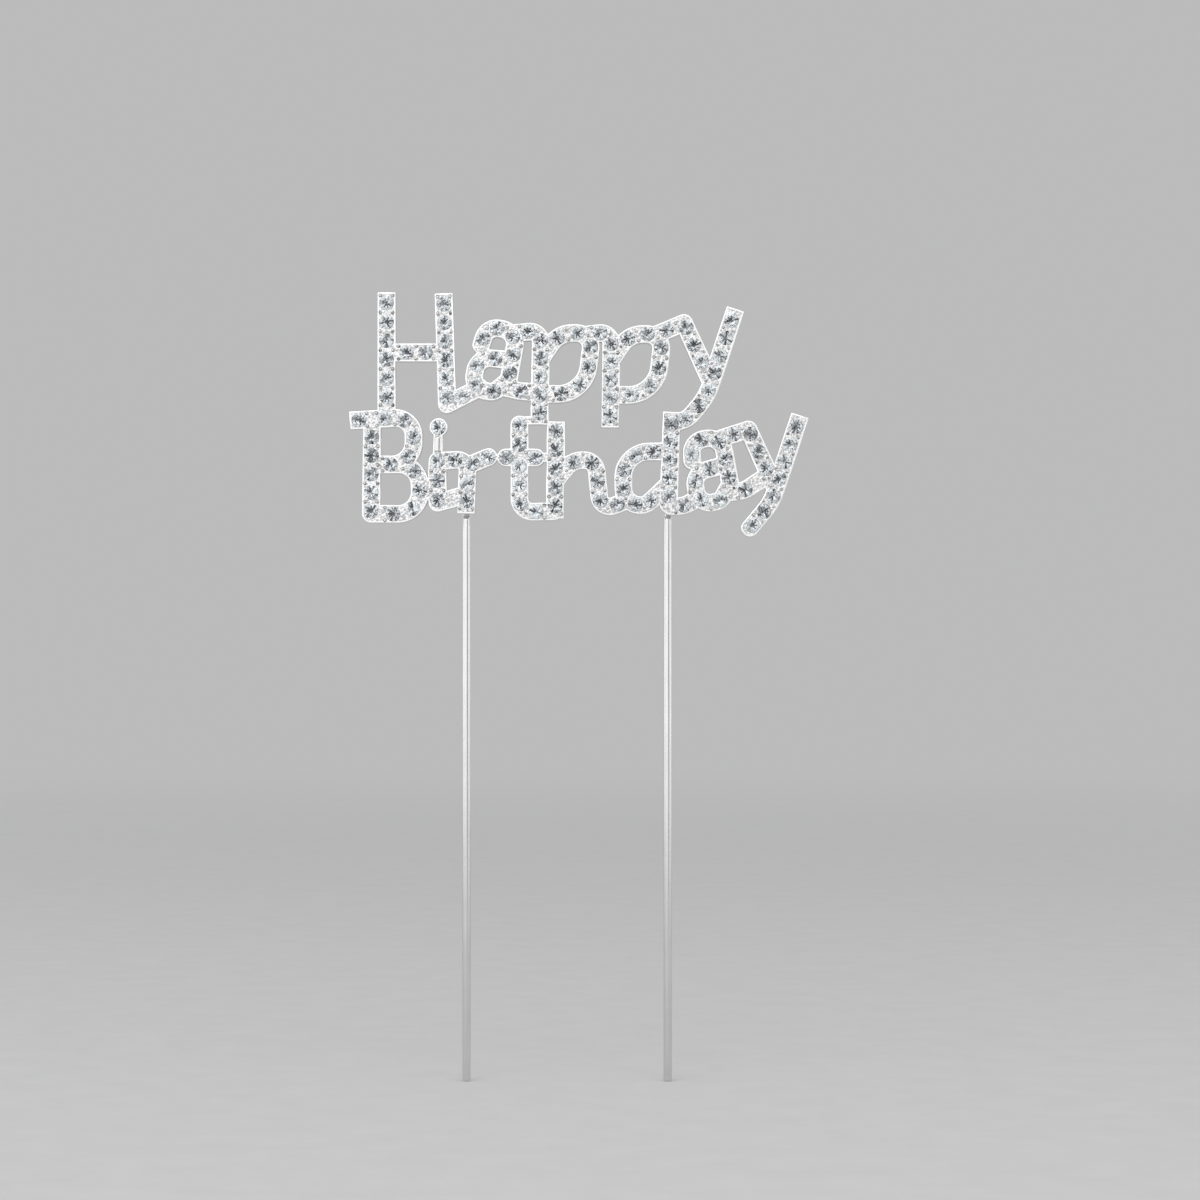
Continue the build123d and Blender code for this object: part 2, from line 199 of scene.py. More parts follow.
FRAME_POINTS = node_points("letter_frame")
BACK_Y = FRAME_POINTS[:, 1].max()
BEAD_TOP = FRAME_POINTS[:, 1].min()
STONE_NODES = sorted(n for n in frame["nodes"] if n.endswith("_stones"))
ONE_NODE = node_points(STONE_NODES[0])
TABLE_Y = ONE_NODE[:, 1].min()
CULET_Y = ONE_NODE[:, 1].max()


def places(points, y):
    """Where the points at one depth are, in (x, z), each once."""
    level = points[np.abs(points[:, 1] - y) < LEVEL_GAP]
    return np.unique(np.round(level[:, [0, 2]], PLACE_DIGITS), axis=0)


STONE_PLACES = {name: places(node_points(name), CULET_Y) for name in STONE_NODES}
ALL_STONES = np.concatenate(list(STONE_PLACES.values()))
BEAD_PLACES = places(FRAME_POINTS, BEAD_TOP)


def middle_level(points):
    """Depth and radius of a stone's widest line."""
    behind_table = points[:, 1] > TABLE_Y + STONE_LEVEL_GAP
    before_culet = points[:, 1] < CULET_Y - STONE_LEVEL_GAP
    inner = points[behind_table & before_culet]
    centre = STONE_PLACES[STONE_NODES[0]][0]
    reach = np.hypot(inner[:, 0] - centre[0], inner[:, 2] - centre[1])
    return inner[:, 1].mean(), reach.min()


GIRDLE_Y, STONE_RADIUS = middle_level(ONE_NODE)
FACE_Y = GIRDLE_Y - GIRDLE_SINK
GROUND_Y = FACE_Y + GROUND_DROP


# Building of meshes


class Shape:
    """Corners and faces of a mesh while it is built."""

    def __init__(self):
        """Nothing at first."""
        self.points = []
        self.faces = []
        self.smooth = []
        self.slots = []
        self.tones = []

    def add(self, points, faces, smooth=True, slot=0, tone=1.0, tones=None):
        """More corners, and faces between them with one tone or a tone each; a tone below 1 darkens a face
        as painted shade, or on the stones' foil also as a random lightness.
        """
        start = len(self.points)
        self.points += [tuple(p) for p in points]
        self.faces += [tuple(start + k for k in face) for face in faces]
        self.smooth += [smooth] * len(faces)
        self.slots += [slot] * len(faces)
        self.tones += tones or [tone] * len(faces)

    def add_rings(self, rings, covered=(), **looks):
        """Rings of corners joined one to the next, with a face over each of the covered ones."""
        sides = len(rings[0])
        covers = [range(k * sides, (k + 1) * sides) for k in covered]
        self.add([p for ring in rings for p in ring], strip(sides, len(rings)) + covers, **looks)

    def add_mound(self, points, sides, rings, slot=0):
        """A sheet of corners whose rim lies flat, closed by a face underneath."""
        last = (rings - 1) * sides
        rim = list(range(sides))
        rim += [r * sides + sides - 1 for r in range(1, rings - 1)]
        rim += range(last + sides - 1, last - 1, -1)
        rim += [r * sides for r in range(rings - 2, 0, -1)]
        self.add(points, strip(sides, rings, closed=False), slot=slot)
        self.add([points[k] for k in rim], [range(len(rim))], smooth=False, slot=slot)

    def make(self, name, *materials):
        """A Blender object of this shape, with a tone for each face that holds its painted shade or random
        lightness.
        """
        mesh = bpy.data.meshes.new(name)
        mesh.from_pydata(self.points, [], self.faces)
        mesh.polygons.foreach_set("use_smooth", self.smooth)
        mesh.polygons.foreach_set("material_index", self.slots)
        tone = mesh.attributes.new("tone", "FLOAT", "FACE")
        tone.data.foreach_set("value", self.tones)
        for material in materials:
            mesh.materials.append(material)
        work = bmesh.new()
        work.from_mesh(mesh)
        bmesh.ops.remove_doubles(work, verts=work.verts, dist=WELD_GAP)
        bmesh.ops.recalc_face_normals(work, faces=work.faces)
        work.to_mesh(mesh)
        work.free()
        piece = bpy.data.objects.new(name, mesh)
        bpy.context.scene.collection.objects.link(piece)
        return piece


def strip(sides, rings, closed=True):
    """Faces between rings of corners that follow each other."""
    faces = []
    for low in range(0, (rings - 1) * sides, sides):
        high = low + sides
        for k in range(sides if closed else sides - 1):
            after = (k + 1) % sides
            faces.append((low + k, low + after, high + after, high + k))
    return faces


def circle(centre, radius, sides):
    """Corners of a ring in (x, z)."""
    turn = 2 * pi * np.arange(sides) / sides
    return np.column_stack([centre[0] + radius * np.cos(turn), centre[1] + radius * np.sin(turn)])


def upright(points, y):
    """Points in (x, z) as points in space at one depth."""
    return [(x, y, z) for x, z in points]


def quarter_turns():
    """Angles along a rounded edge, from 0 to a right angle."""
    return [pi / 2 * k / ROUND_STEPS for k in range(ROUND_STEPS + 1)]


# Outline of the casting, from the flat back of the CAD frame


def back_loops():
    """The outline of the casting and of its openings, as loops of (x, z)."""
    mesh = frame["nodes"]["letter_frame"].data
    corners = [tuple(round(c, CORNER_DIGITS) for c in v.co) for v in mesh.vertices]
    sides = Counter()
    for face in mesh.polygons:
        around = [corners[v] for v in face.vertices]
        if min(c[1] for c in around) > BACK_Y - LEVEL_GAP:
            sides.update(zip(around, around[1:] + around[:1]))
    after = {a: b for a, b in sides if (b, a) not in sides}
    loops = []
    while after:
        start, here = after.popitem()
        loop = [start]
        while here != start:
            loop.append(here)
            here = after.pop(here)
        loops.append(np.array([(x, z) for x, _, z in loop]))
    return [without_short_sides(loop) for loop in loops]


def unit(vectors):
    """The vectors at length 1."""
    return vectors / np.linalg.norm(vectors, axis=1, keepdims=True)


def turns(loop):
    """How sharply a loop turns at each corner, from 0 to 2."""
    come = unit(loop - np.roll(loop, 1, axis=0))
    go = np.roll(come, -1, axis=0)
    return 1 - np.sum(come * go, axis=1)


def without_short_sides(loop):
    """The loop with its short sides closed up, keeping the sharper corner of each."""
    while True:
        sides = np.linalg.norm(np.roll(loop, -1, axis=0) - loop, axis=1)
        short = int(np.argmin(sides))
        if sides[short] >= LEAST_STEP:
            return loop
        turn = turns(loop)
        other = (short + 1) % len(loop)
        loop = np.delete(loop, short if turn[short] < turn[other] else other, axis=0)


def inset(loop, depth):
    """The loop moved into the metal, which lies to one side of it."""
    come = unit(loop - np.roll(loop, 1, axis=0))
    across = np.column_stack([come[:, 1], -come[:, 0]])
    inward = unit(across + np.roll(across, -1, axis=0))
    lean = np.sum(inward * across, axis=1)
    return loop + inward * (depth * np.minimum(1 / lean, MITRE_LIMIT))[:, None]


def clear_of_seats(loop):
    """The loop, with any point that is over a seat moved to its edge."""
    least = SEAT_MOUTH + SEAT_MARGIN
    for centre in ALL_STONES:
        away = loop - centre
        gap = np.hypot(*away.T)
        near = gap < least
        loop[near] = centre + away[near] * (least / gap[near])[:, None]
    return loop


def inside(points, loops):
    """Which points are in the metal: a line from them crosses the loops an odd number of times."""
    odd = np.zeros(len(points), bool)
    for loop in loops:
        for (x0, z0), (x1, z1) in zip(loop, np.roll(loop, -1, axis=0)):
            spans = (points[:, 1] < z0) != (points[:, 1] < z1)
            if z0 != z1:
                cross = x0 + (points[:, 1] - z0) * (x1 - x0) / (z1 - z0)
                odd ^= spans & (points[:, 0] < cross)
    return odd


def filled(loops, holes, hole_radius):
    """Triangles that fill the metal between the loops and round holes."""
    rings = loops + holes
    points = np.concatenate(rings)
    sides = []
    start = 0
    for ring in rings:
        sides += [(start + k, start + (k + 1) % len(ring)) for k in range(len(ring))]
        start += len(ring)
    found = delaunay_2d_cdt([Vector(p) for p in points], sides, [], 0, FILL_GAP)
    corners = np.array([tuple(v) for v in found[0]])
    faces = np.array(found[2])
    middles = corners[faces].mean(axis=1)
    keep = inside(middles, loops)
    if holes:
        centres = np.array([h.mean(axis=0) for h in holes])
        away = middles[:, None, :] - centres[None, :, :]
        gap = np.hypot(*away.transpose(2, 0, 1)).min(axis=1)
        keep &= gap > hole_radius * cos(pi / SEAT_SIDES) - WELD_GAP
    return corners, faces[keep]


# Parts of the casting


def add_edge(shape, loop):
    """The wall and the border of the casting along one loop. It gives the edge of the ground inside."""
    rings = []
    for turn in quarter_turns():
        ring = inset(loop, BACK_ROUND * (1 - sin(turn)))
        rings.append(upright(ring, BACK_Y - BACK_ROUND * (1 - cos(turn))))
    for turn in quarter_turns():
        ring = inset(loop, EDGE_ROUND * (1 - cos(turn)))
        rings.append(upright(ring, FACE_Y + EDGE_ROUND * (1 - sin(turn))))
    shape.add_rings(rings)
    border = upright(clear_of_seats(inset(loop, RIM_WIDTH)), FACE_Y)
    ground = clear_of_seats(inset(loop, RIM_WIDTH + GROUND_STEP))
    shape.add_rings([rings[-1], border], smooth=False)
    shape.add_rings([border, upright(ground, GROUND_Y)])
    return ground


def add_seat(shape, centre):
    """A tapered seat with a lip at its mouth."""
    levels = [
        (SEAT_MOUTH, 0),
        (SEAT_MOUTH - SEAT_LIP * LIP_BEVEL, SEAT_LIP * LIP_BEVEL),
        (SEAT_MOUTH - SEAT_LIP * LIP_WIDTH, SEAT_LIP),
        (SEAT_MOUTH * SEAT_FLOOR, CULET_Y - GROUND_Y + SEAT_LIP),
    ]
    rings = [upright(circle(centre, radius, SEAT_SIDES), GROUND_Y + down) for radius, down in levels]
    shape.add_rings(rings, covered=[len(rings) - 1])


def small_claws(loops):
    """Places to both sides of the gap between two stones where the metal has room and no claw yet."""
    reach = np.hypot(*(ALL_STONES[:, None] - ALL_STONES[None]).transpose(2, 0, 1))
    taken = list(BEAD_PLACES)
    found = []
    for one, other in zip(*np.where(np.triu(reach < STONE_REACH, 1))):
        along = (ALL_STONES[other] - ALL_STONES[one]) / reach[one, other]
        across = np.array([-along[1], along[0]]) * CLAW_SPREAD
        middle = (ALL_STONES[one] + ALL_STONES[other]) / 2
        for spot in (middle + across, middle - across):
            from_stones = np.hypot(*(ALL_STONES - spot).T).min() - SEAT_MOUTH
            from_claws = np.hypot(*(np.array(taken) - spot).T).min() - BEAD_RADIUS - CLAW_GAP
            within = inside(circle(spot, SMALL_BEAD + RIM_WIDTH / 2, CLAW_TESTS), loops).all()
            if within and min(from_stones, from_claws) > SMALL_BEAD:
                taken.append(spot)
                found.append(spot)
    return found


def add_bead(shape, place, size, chance):
    """A round claw pushed from the metal towards the stones beside it."""
    near = ALL_STONES[np.argsort(np.hypot(*(ALL_STONES - place).T))[:2]]
    pull = near.mean(axis=0) - place
    height = (GROUND_Y - BEAD_TOP) * size / BEAD_RADIUS
    radius = size * chance.uniform(*BEAD_SIZES)
    rings = [upright(circle(place, radius, BEAD_SIDES), GROUND_Y + BEAD_ROOT)]
    for turn in BEAD_TURNS:
        middle = place + pull * BEAD_PULL * sin(turn)
        ring = circle(middle, radius * cos(turn), BEAD_SIDES)
        rings.append(upright(ring, GROUND_Y - height * BEAD_HEIGHT * sin(turn)))
    # the claw's tone is painted shade: it darkens the claw as if it reflected dark surroundings
    shape.add_rings(rings, covered=[0, len(rings) - 1], tone=chance.uniform(*BEAD_PAINTED_SHADE))


def add_neck(shape):
    """The rounded neck between the stem of the i and its dot."""
    dot, stem = sorted(STONE_PLACES["letter_i_stones"], key=lambda place: -place[1])[:2]
    length = np.hypot(*(dot - stem))
    along = (dot - stem) / length
    across = np.array([along[1], -along[0]])
    shown = length - 2 * NECK_REACH
    points = []
    for k in range(NECK_ALONG + 1):
        share = k / NECK_ALONG
        middle = stem + along * (NECK_REACH + shown * share)
        short = 1 - min(min(share, 1 - share) * shown / NECK_END, 1)
        full = (1 - short * short) ** 0.5
        for j in range(NECK_ACROSS + 1):
            side = -1 + 2 * j / NECK_ACROSS
            x, z = middle + across * NECK_HALF * full * side
            rise = (NECK_RISE + NECK_SINK) * full * (1 - side * side)
            points.append((x, FACE_Y + NECK_SINK - rise, z))
    shape.add_mound(points, NECK_ACROSS + 1, NECK_ALONG + 1, slot=NECK_SLOT)


def make_casting(material, neck_material):
    """The letter frame: walls, front with seats, back, bead claws and the neck of the i."""
    chance = Random(BEAD_SEED)
    loops = back_loops()
    shape = Shape()
    edges = [add_edge(shape, loop) for loop in loops]
    seats = [circle(c, SEAT_MOUTH, SEAT_SIDES) for c in ALL_STONES]
    ground, faces = filled(edges, seats, SEAT_MOUTH)
    # the ground's tone is painted shade: it darkens the ground between the stones
    shape.add(upright(ground, GROUND_Y), faces.tolist(), smooth=False, tone=GROUND_PAINTED_SHADE)
    back, faces = filled([inset(loop, BACK_ROUND) for loop in loops], [], 0)
    shape.add(upright(back, BACK_Y), faces.tolist(), smooth=False)
    for centre in ALL_STONES:
        add_seat(shape, centre)
    for place in BEAD_PLACES:
        add_bead(shape, place, BEAD_RADIUS, chance)
    for place in small_claws(loops):
        add_bead(shape, place, SMALL_BEAD, chance)
    add_neck(shape)
    return shape.make("letter_casting", material, neck_material)


# Stones


def facet_plan():
    """Corners and facets of a round brilliant, with local z out of the face and its widest line at 0.

    Facets come as (kind, corners).
    """
    crown = GIRDLE_Y - TABLE_Y
    depth = CULET_Y - GIRDLE_Y
    round_count = 2 * FOLD
    half = pi / FOLD
    star = STONE_RADIUS * STAR_SHARE
    table = STONE_RADIUS * TABLE_SHARE
    slope = (crown - GIRDLE_HALF) / (STONE_RADIUS - table)
    star_z = GIRDLE_HALF + (STONE_RADIUS - star * cos(half)) * slope

    def ring(radius, z, count, start=0.0):
        """Corners round the stone."""
        spots = [start + 2 * pi * k / count for k in range(count)]
        return [(radius * cos(t), radius * sin(t), z) for t in spots]

    points = ring(table, crown, FOLD) + ring(star, star_z, FOLD, half)
    points += ring(STONE_RADIUS, GIRDLE_HALF, round_count)
    points += ring(STONE_RADIUS, -GIRDLE_HALF, round_count)
    tips, notches = (
        ring(STONE_RADIUS * share, -depth + (depth - GIRDLE_HALF) * share, FOLD, start)
        for share, start in zip(RAY_SHARES, (0.0, half))
    )
    points += [corner for pair in zip(tips, notches) for corner in pair] + [(0, 0, -depth)]
    table_at = 0
    star_at = table_at + FOLD
    upper_at = star_at + FOLD
    lower_at = upper_at + round_count
    ray_at = lower_at + round_count
    culet = ray_at + round_count
    facets = [("crown", tuple(range(FOLD)))]
    for k in range(FOLD):
        after = (k + 1) % FOLD
        before = (k - 1) % FOLD
        left = upper_at + 2 * k
        middle = upper_at + 2 * k + 1
        right = upper_at + (2 * k + 2) % round_count
        facets += [
            ("crown", (table_at + k, star_at + k, table_at + after)),
            ("crown", (table_at + k, star_at + before, left, star_at + k)),
            ("crown", (star_at + k, left, middle)),
            ("crown", (star_at + k, middle, right)),
            ("ray", (culet, ray_at + (2 * k - 1) % round_count, ray_at + 2 * k, ray_at + 2 * k + 1)),
        ]
    for k in range(round_count):
        after = (k + 1) % round_count
        facets += [
            ("girdle", (upper_at + k, lower_at + k, lower_at + after, upper_at + after)),
            ("lower", (lower_at + k, ray_at + k, ray_at + after, lower_at + after)),
        ]
    return points, facets


STONE_POINTS, STONE_FACETS = facet_plan()


def facet_tones(kind, count, chance):
    """How light the facets of one kind show, as painted shade on the foil. The painted dark rays of the
    star lie together, to one side; the other facets get a random lightness or a painted middle shade.
    """
    if kind == "crown":
        return [1.0] * count
    if kind == "ray":
        first = chance.randrange(count)
        dark = chance.randint(*PAINTED_DARK_RAYS)
        turned = [(k - first) % count for k in range(count)]
        return [chance.uniform(*(STAR_PAINTED_SHADE if k < dark else PALE_RAY_PAINTED_SHADE)) for k in turned]
    shares = [MIDDLE_PAINTED_SHADE if chance.random() < PAINTED_SHADE_CHANCE else LIGHT_TONE for _ in range(count)]
    return [chance.uniform(*share) for share in shares]


def make_stones(node, glass, foil_and_shade):
    """The stones of one letter, each turned and tilted a little in its own way."""
    chance = Random(node)
    shape = Shape()
    for x, z in STONE_PLACES[node]:
        tilt = [radians(chance.uniform(-STONE_TILT, STONE_TILT)) for _ in range(2)]
        turned = Euler((tilt[0], tilt[1], chance.uniform(0, pi)), "ZYX").to_matrix()
        points = [turned @ Vector(p) for p in STONE_POINTS]
        placed = [(x + p.x, GIRDLE_Y - p.z, z + p.y) for p in points]
        for kind in ("crown", "girdle", "ray", "lower"):
            faces = [corners for k, corners in STONE_FACETS if k == kind]
            slot = GLASS_SLOT if kind == "crown" else FOIL_SLOT
            tones = facet_tones(kind, len(faces), chance)
            shape.add(placed, faces, smooth=False, slot=slot, tones=tones)
    return shape.make(node.replace("_stones", "_brilliants"), glass, foil_and_shade)


# Stakes and solder


def wire_ring(x, half_width, half_depth, z):
    """A ring of the wire: round, or a slot where it is flattened."""
    reach = half_width - half_depth
    ring = []
    for k in range(WIRE_SIDES):
        turn = 2 * pi * (k + 0.5) / WIRE_SIDES
        side = reach if cos(turn) > 0 else -reach
        ring.append((x + side + half_depth * cos(turn), half_depth * sin(turn), z))
    return ring


def make_stake(node, material):
    """A straight wire with a rounded tip, flattened to a tang behind its letter."""
    low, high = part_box(node)
    x = (low.x + high.x) / 2
    radius = (high.x - low.x) / 2
    flat = -BACK_Y
    tip_z = low.z + TIP_ROUND
    round_z = FOOT_Z - TANG_DROP - TAPER_LENGTH
    rings = []
    for turn in quarter_turns():
        small = radius - TIP_ROUND * (1 - sin(turn))
        rings.append(wire_ring(x, small, small, low.z + TIP_ROUND * (1 - cos(turn))))
    for k in range(1, WIRE_STEPS + 1):
        rings.append(wire_ring(x, radius, radius, tip_z + (round_z - tip_z) * k / WIRE_STEPS))
    for k in range(1, TAPER_STEPS + 1):
        share = k / TAPER_STEPS
        eased = share * share * (3 - 2 * share)
        half_depth = radius + (flat - radius) * eased
        rings.append(wire_ring(x, radius, half_depth, round_z + TAPER_LENGTH * share))
    for turn in quarter_turns():
        less = TANG_END_ROUND * (1 - cos(turn))
        rings.append(wire_ring(x, radius - less, flat - less, high.z - TANG_END_ROUND * (1 - sin(turn))))
    shape = Shape()
    shape.add_rings(rings, covered=[0, len(rings) - 1])
    piece = shape.make(node.replace("_stake", "_wire"), material)
    piece.data.set_sharp_from_angle(angle=radians(SHARP_ANGLE))
    return piece


def profile(share, full, fall):
    """A rounded profile: 1 in the middle, 0 where the share is -1 or 1."""
    return (1 - abs(share) ** full) ** fall


def make_solder(node, material, seed):
    """A mound that flowed over the tang: uneven at its rim, with a few ripples where it froze."""
    chance = Random(seed)
    low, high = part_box(node)
    middle = (low + high) / 2
    reach = (high - low) / 2
    waves = []
    for _ in range(WAVES):
        rate = chance.uniform(*WAVE_RATE)
        start = chance.uniform(0, 2 * pi)
        waves.append((rate, start, chance.uniform(*WAVE_SIZE)))
    points = []
    for j in range(SOLDER_ALONG + 1):
        along = -1 + 2 * j / SOLDER_ALONG
        rim = sum(size * sin(rate * along + start) for rate, start, size in waves)
        wide = profile(along, *PLAN_PROFILE) * (SOLDER_WIDTH + rim * RIM_WAVE)
        for i in range(SOLDER_ACROSS + 1):
            across = -1 + 2 * i / SOLDER_ACROSS
            body = profile(across, *CROSS_PROFILE) * profile(along, *LONG_PROFILE)
            ripple = sum(
                size * sin(rate * FACE_RATE * along + FACE_SLANT * across + start)
                for rate, start, size in waves
            )
            height = body * (SOLDER_HEIGHT + FACE_WAVE * ripple)
            spot_x = middle.x + reach.x * across * wide
            points.append((spot_x, low.y + 2 * reach.y * min(height, 1.0), middle.z + reach.z * along))
    shape = Shape()
    shape.add_mound(points, SOLDER_ACROSS + 1, SOLDER_ALONG + 1)
    return shape.make(node.replace("_solder", "_solder_mound"), material)


# Materials


def new_material(name):
    """A material, a helper that adds linked nodes to it, and one that sets its surface."""
    material = bpy.data.materials.new(name)
    material.use_nodes = True
    tree = material.node_tree

    def fill_inputs(node, inputs):
        """Each input gets a value, or a link from another node."""
        for key, value in inputs.items():
            if isinstance(value, bpy.types.NodeSocket):
                tree.links.new(value, node.inputs[key])
            else:
                node.inputs[key].default_value = value

    def add(kind, inputs, **settings):
        """A new node with its settings and inputs."""
        node = tree.nodes.new(kind)
        for key, value in settings.items():
            setattr(node, key, value)
        fill_inputs(node, inputs)
        return node

    def set_surface(inputs):
        """Inputs of the material's own shader."""
        fill_inputs(tree.nodes["Principled BSDF"], inputs)

    return material, add, set_surface


def object_place(add, stretch=(1, 1, 1)):
    """Where a point is on the object, stretched along the axes."""
    place = add("ShaderNodeTexCoord", {}).outputs["Object"]
    return add("ShaderNodeMapping", {"Vector": place, "Scale": stretch}).outputs["Vector"]


def face_tone(add):
    """The tone that each face carries: its painted shade, or a random lightness of the stones' foil."""
    return add("ShaderNodeAttribute", {}, attribute_name="tone").outputs["Fac"]


def noise(add, place, scale, detail=4.0, rough=0.6):
    """Soft random values from about 0.3 to 0.7."""
    inputs = {"Vector": place, "Scale": scale, "Detail": detail, "Roughness": rough}
    return add("ShaderNodeTexNoise", inputs).outputs["Fac"]


def spread(add, value, low, high, start=0.3, end=0.7, **settings):
    """Values between a start and an end brought into another range."""
    inputs = {"Value": value, "From Min": start, "From Max": end, "To Min": low, "To Max": high}
    return add("ShaderNodeMapRange", inputs, **settings).outputs["Result"]


def combine(add, operation, *values):
    """The result of a sum with values or textures."""
    return add("ShaderNodeMath", dict(enumerate(values)), operation=operation).outputs["Value"]


def ramp(add, value, dark, light, start=0.3, end=0.7):
    """Colours from the darker to the lighter one along a value."""
    node = add("ShaderNodeValToRGB", {"Fac": value})
    for band, place, colour in zip(node.color_ramp.elements, (start, end), (dark, light)):
        band.position = place
        band.color = (*colour, 1)
    return node.outputs["Color"]


def relief(add, height, strength, depth, under=None):
    """A bump from a texture, on top of another bump where there is one."""
    inputs = {"Height": height, "Strength": strength, "Distance": depth}
    if under is not None:
        inputs["Normal"] = under
    return add("ShaderNodeBump", inputs).outputs["Normal"]


def plated_casting():
    """Bright plating, polished in front and greyer and grainier as cast on the walls and back.

    Faces with a lower tone, the ground and the claws, carry painted shade: they are darker, and speckled.
    """
    material, add, set_surface = new_material("plated_casting")
    place = object_place(add)
    normal = add("ShaderNodeNewGeometry", {}).outputs["Normal"]
    facing = add("ShaderNodeSeparateXYZ", {"Vector": normal}).outputs["Y"]
    rough_cast = spread(add, facing, low=0.0, high=1.0, start=-0.75, end=-0.1)
    cloud = noise(add, place, scale=260.0)
    grain = noise(add, place, scale=5200.0, detail=6.0, rough=0.7)
    cuts = noise(add, place, scale=2200.0, detail=2.0, rough=0.5)
    colours = {"Factor": rough_cast, 6: ramp(add, cloud, *POLISHED), 7: ramp(add, cloud, *AS_CAST)}
    colour = add("ShaderNodeMix", colours, data_type="RGBA").outputs[2]
    tone = face_tone(add)
    # painted shade: the lower a face's tone, the darker it is, with speckle over it
    painted_shade_depth = combine(add, "SUBTRACT", 1.0, tone)
    speckle = spread(add, cuts, low=-0.6, high=1.0, start=0.35, end=0.65)
    shade = combine(add, "MULTIPLY_ADD", painted_shade_depth, speckle, tone)
    shaded = add("ShaderNodeVectorMath", {0: colour, "Scale": shade}, operation="SCALE")
    worn = spread(add, grain, low=0.3, high=0.42)
    waves = relief(add, cloud, strength=0.25, depth=0.2 * MM)
    cut = spread(add, tone, low=0.8, high=0.0, start=GROUND_PAINTED_SHADE, end=1.0)
    flecks = relief(add, cuts, strength=cut, depth=0.2 * MM, under=waves)
    set_surface({
        "Base Color": shaded.outputs["Vector"],
        "Metallic": 1.0,
        "Roughness": combine(add, "MULTIPLY_ADD", rough_cast, 0.16, worn),
        "Normal": relief(add, grain, strength=0.12, depth=0.03 * MM, under=flecks),
    })
    return material


def plated_bar(name):
    """Round metal under bright plating, with faint lines along it."""
    material, add, set_surface = new_material(name)
    along = object_place(add, stretch=(1, 1, 0.012))
    lines = noise(add, along, scale=3800.0, detail=5.0, rough=0.65)
    cloud = noise(add, object_place(add), scale=120.0)
    set_surface({
        "Base Color": ramp(add, cloud, *BRIGHT_BAR),
        "Metallic": 1.0,
        "Roughness": spread(add, lines, low=0.13, high=0.23),
        "Normal": relief(add, lines, strength=0.2, depth=0.03 * MM),
    })
    return material


def solder_metal():
    """Tin solder: grey, satin, with the grain of a cooled surface."""
    material, add, set_surface = new_material("solder")
    place = object_place(add)
    cells = add("ShaderNodeTexVoronoi", {"Vector": place, "Scale": 2600.0}, feature="SMOOTH_F1")
    cloud = noise(add, place, scale=700.0)
    grain = relief(add, cells.outputs["Distance"], strength=0.25, depth=0.06 * MM)
    set_surface({
        "Base Color": ramp(add, cloud, *TIN),
        "Metallic": 1.0,
        "Roughness": spread(add, cloud, low=0.3, high=0.5),
        "Normal": relief(add, cloud, strength=0.4, depth=0.2 * MM, under=grain),
    })
    return material


def stone_glass():
    """Clear cut glass, with the faint wear of tumbled stones."""
    material, add, set_surface = new_material("clear_stone")
    wear = noise(add, object_place(add), scale=3000.0, detail=5.0, rough=0.7)
    set_surface({
        "Base Color": CLEAR_GLASS,
        "Transmission Weight": 1.0,
        "IOR": GLASS_INDEX,
        "Roughness": spread(add, wear, low=0.0, high=0.03, start=0.45, end=0.8),
    })
    return material


def stone_foil():
    """Mirror foil on the underside of a stone, lighter or darker from facet to facet by painted shade, with
    faint random patches.
    """
    material, add, set_surface = new_material("stone_foil")
    cloud = noise(add, object_place(add), scale=1500.0)
    # the face's tone is painted shade on the foil, with faint random patches over it
    patchy_shade = combine(add, "MULTIPLY", face_tone(add), spread(add, cloud, low=0.94, high=1.0))
    set_surface({
        "Base Color": ramp(add, patchy_shade, *FOIL_AND_PAINTED_SHADE, start=0.0, end=1.0),
        "Metallic": 1.0,
        "Roughness": spread(add, cloud, low=0.06, high=0.14),
    })
    return material


def floor_paper():
    """Matt paper that fades away from the middle."""
    material, add, set_surface = new_material("floor")
    place = object_place(add)
    away = add("ShaderNodeVectorMath", {0: place}, operation="LENGTH").outputs["Value"]
    near, far = FLOOR_FADE
    shown = spread(add, away, low=1.0, high=0.0, start=near, end=far, interpolation_type="SMOOTHSTEP")
    set_surface({
        "Base Color": ramp(add, noise(add, place, scale=90.0), *PAPER),
        "Roughness": 0.9,
        "Specular IOR Level": 0.1,
        "Alpha": shown,
    })
    return material


# The object

casting_metal = plated_casting()
wire_metal = plated_bar("plated_wire")
neck_metal = plated_bar("polished_neck")
tin = solder_metal()
glass = stone_glass()
foil_and_shade = stone_foil()


def dress(piece, node):
    """The piece stands for a CAD node and rides with the one body."""
    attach(piece, "root")
    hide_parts(node)


dress(make_casting(casting_metal, neck_metal), "letter_frame")
for stone_node in STONE_NODES:
    dress(make_stones(stone_node, glass, foil_and_shade), stone_node)
for seed, side in enumerate(("left", "right")):
    dress(make_stake(f"{side}_stake", wire_metal), f"{side}_stake")
    dress(make_solder(f"{side}_solder", tin, seed), f"{side}_solder")


# Floor, light and camera


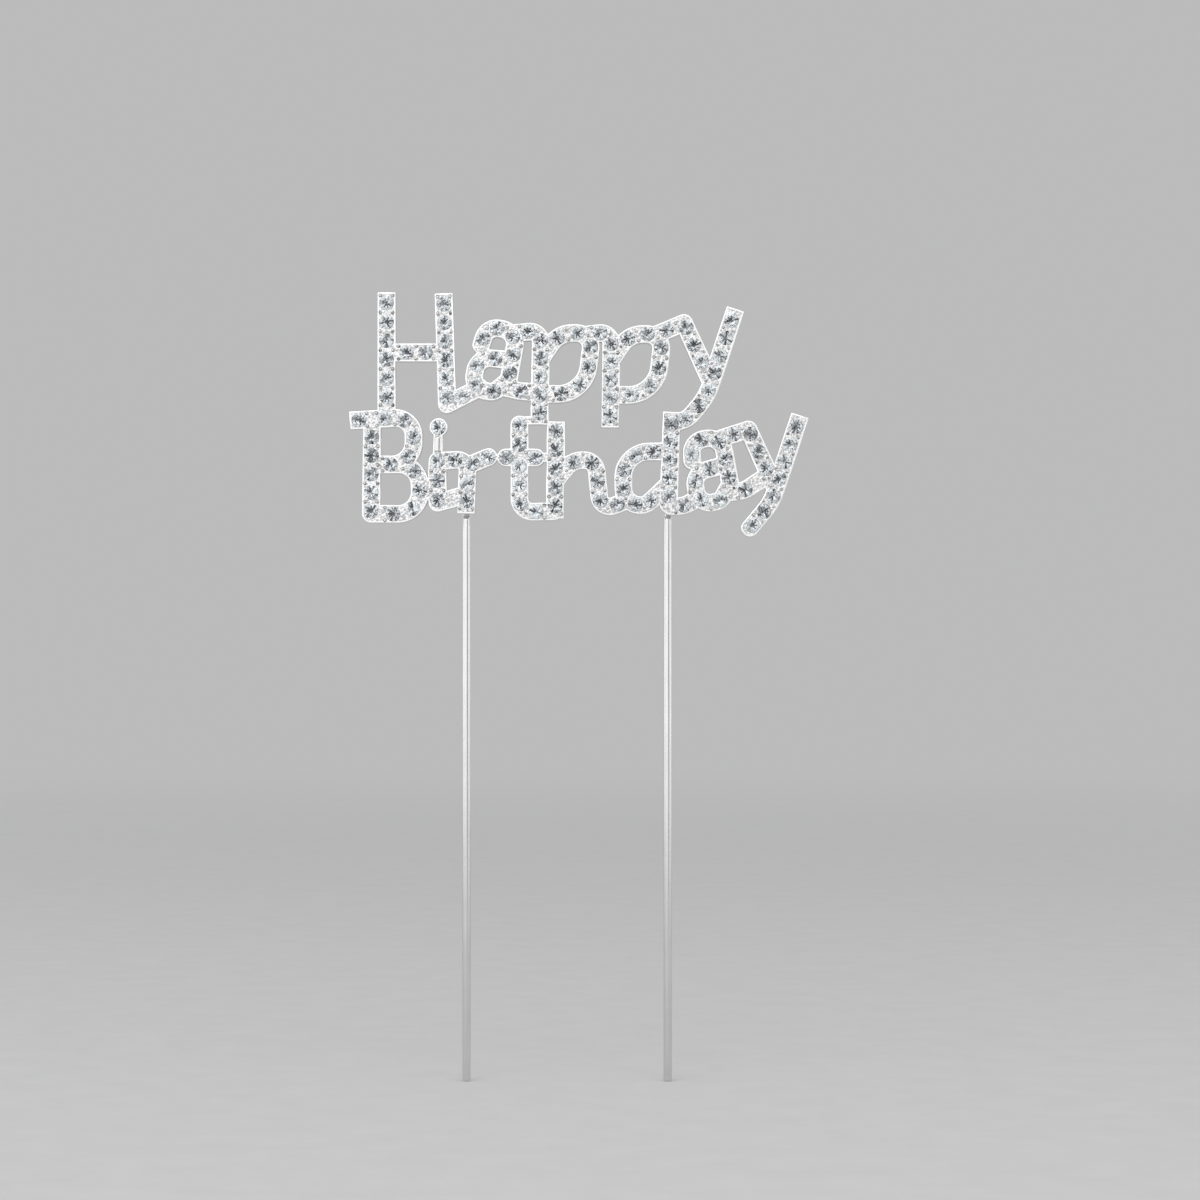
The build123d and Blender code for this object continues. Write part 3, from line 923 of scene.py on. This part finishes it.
def make_floor():
    """A pale round floor that fades into the world at its rim."""
    rings = [circle((0, 0), radius, FLOOR_SIDES) for radius in FLOOR_RINGS]
    shape = Shape()
    shape.add_rings([[(x, y, 0) for x, y in ring] for ring in rings], covered=[0])
    floor = shape.make("floor", floor_paper())


def make_world():
    """An even pale grey all round."""
    world = bpy.data.worlds.new("studio")
    world.use_nodes = True
    shade = world.node_tree.nodes["Background"]
    shade.inputs["Color"].default_value = PALE_WORLD
    shade.inputs["Strength"].default_value = 1.0
    bpy.context.scene.world = world


def make_panel(name, place, width, height, radiance):
    """A soft light panel that faces the letters, of a given brightness."""
    light = bpy.data.lights.new(name, "AREA")
    light.shape = "RECTANGLE"
    light.size = width
    light.size_y = height
    light.energy = radiance * pi * width * height
    lamp = bpy.data.objects.new(name, light)
    lamp.location = place
    lamp.visible_camera = False
    aim = Vector((0, 0, VIEW_CENTRE[1])) - Vector(place)
    lamp.rotation_euler = aim.to_track_quat("-Z", "Y").to_euler()
    bpy.context.scene.collection.objects.link(lamp)


def make_camera():
    """Straight at the front, at the distance that shows the wanted width at the letters' face."""
    data = bpy.data.cameras.new("camera")
    data.lens = LENS
    data.sensor_width = SENSOR
    data.clip_start, data.clip_end = CLIP
    camera = bpy.data.objects.new("camera", data)
    camera.location = (VIEW_CENTRE[0], FACE_Y - VIEW_WIDTH * LENS / SENSOR, VIEW_CENTRE[1])
    camera.rotation_euler = (pi / 2, 0, 0)
    bpy.context.scene.collection.objects.link(camera)
    bpy.context.scene.camera = camera


make_floor()
make_world()
make_panel("left_panel", place=(-0.59, -0.93, 0.25), width=1.88, height=1.0, radiance=0.73)
make_panel("left_side_panel", place=(-1.09, 0.15, 0.25), width=0.9, height=1.0, radiance=0.75)
make_panel("right_panel", place=(1.04, -0.37, 0.25), width=1.0, height=1.0, radiance=0.7)
make_panel("right_side_panel", place=(1.09, 0.5, 0.25), width=0.6, height=1.0, radiance=0.5)
make_panel("top_panel", place=(0.0, -0.78, 0.88), width=1.6, height=1.3, radiance=0.75)
make_camera()
bpy.context.scene.view_settings.view_transform = "Standard"
